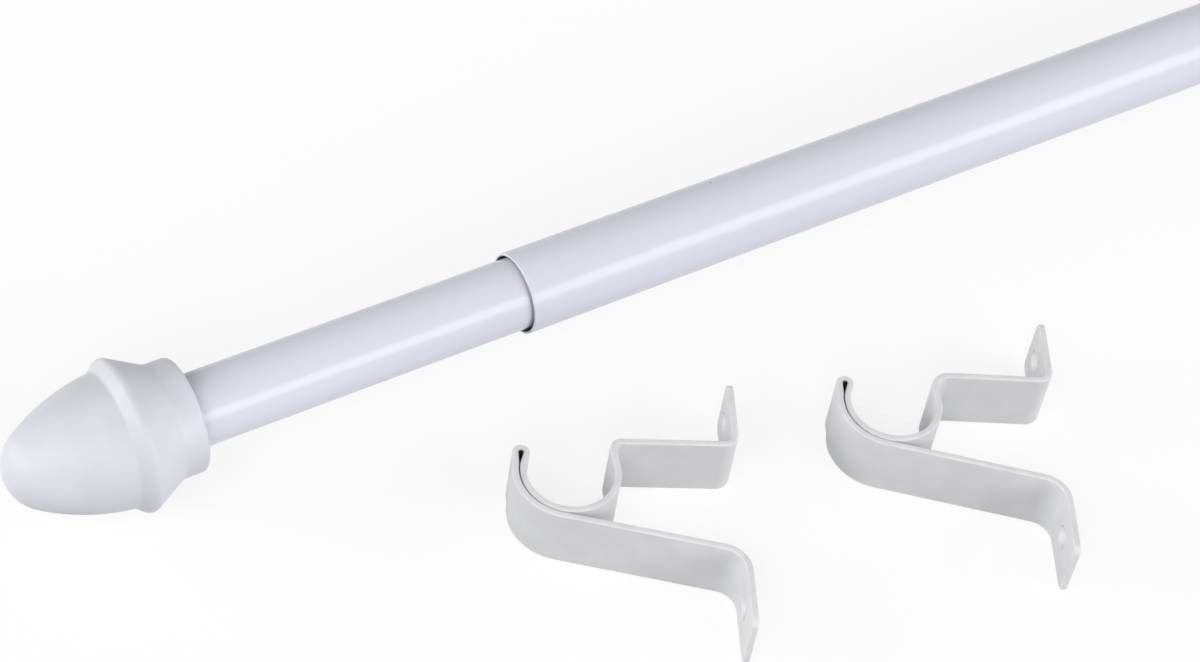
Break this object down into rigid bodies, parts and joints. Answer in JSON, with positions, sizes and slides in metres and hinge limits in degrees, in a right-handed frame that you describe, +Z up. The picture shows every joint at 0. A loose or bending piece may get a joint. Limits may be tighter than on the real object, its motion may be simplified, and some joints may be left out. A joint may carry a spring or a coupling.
{
  "type": "cafe curtain rod",
  "caption": "Telescoping white cafe curtain rod with acorn finials, with a pair of folded strap brackets whose round cradles carry it off the wall.",
  "frame": {"origin": "bottom centre of the box round the rod and its brackets, on the table they lie on", "axes": "+X along the rod from the inner tube's finial to the outer tube's, +Y away from the brackets, +Z up"},
  "size_m": [0.8378, 0.1096, 0.0288],
  "materials": {
    "tube_enamel": "gloss white enamel",
    "finial_plastic": "semi-matte white moulding",
    "strap_enamel": "satin white enamel"
  },
  "bodies": {
    "rod_base": {"outer_tube": "tube_enamel", "left_bracket": "strap_enamel", "right_bracket": "strap_enamel"},
    "sliding_tube": {"inner_tube": "tube_enamel"},
    "sliding_tube_finial": {"inner_tube_finial": "finial_plastic"},
    "base_finial": {"outer_tube_finial": "finial_plastic"}
  },
  "joints": [
    {"name": "telescope", "type": "slide", "parent": "rod_base", "child": "sliding_tube", "axis": [-1, 0, 0], "range_m": [-0.0768, 0.4312]},
    {"name": "inner_finial_pull", "type": "slide", "parent": "sliding_tube", "child": "sliding_tube_finial", "axis": [-1, 0, 0], "range_m": [0, 0.03]},
    {"name": "outer_finial_pull", "type": "slide", "parent": "rod_base", "child": "base_finial", "axis": [1, 0, 0], "range_m": [0, 0.03]}
  ]
}
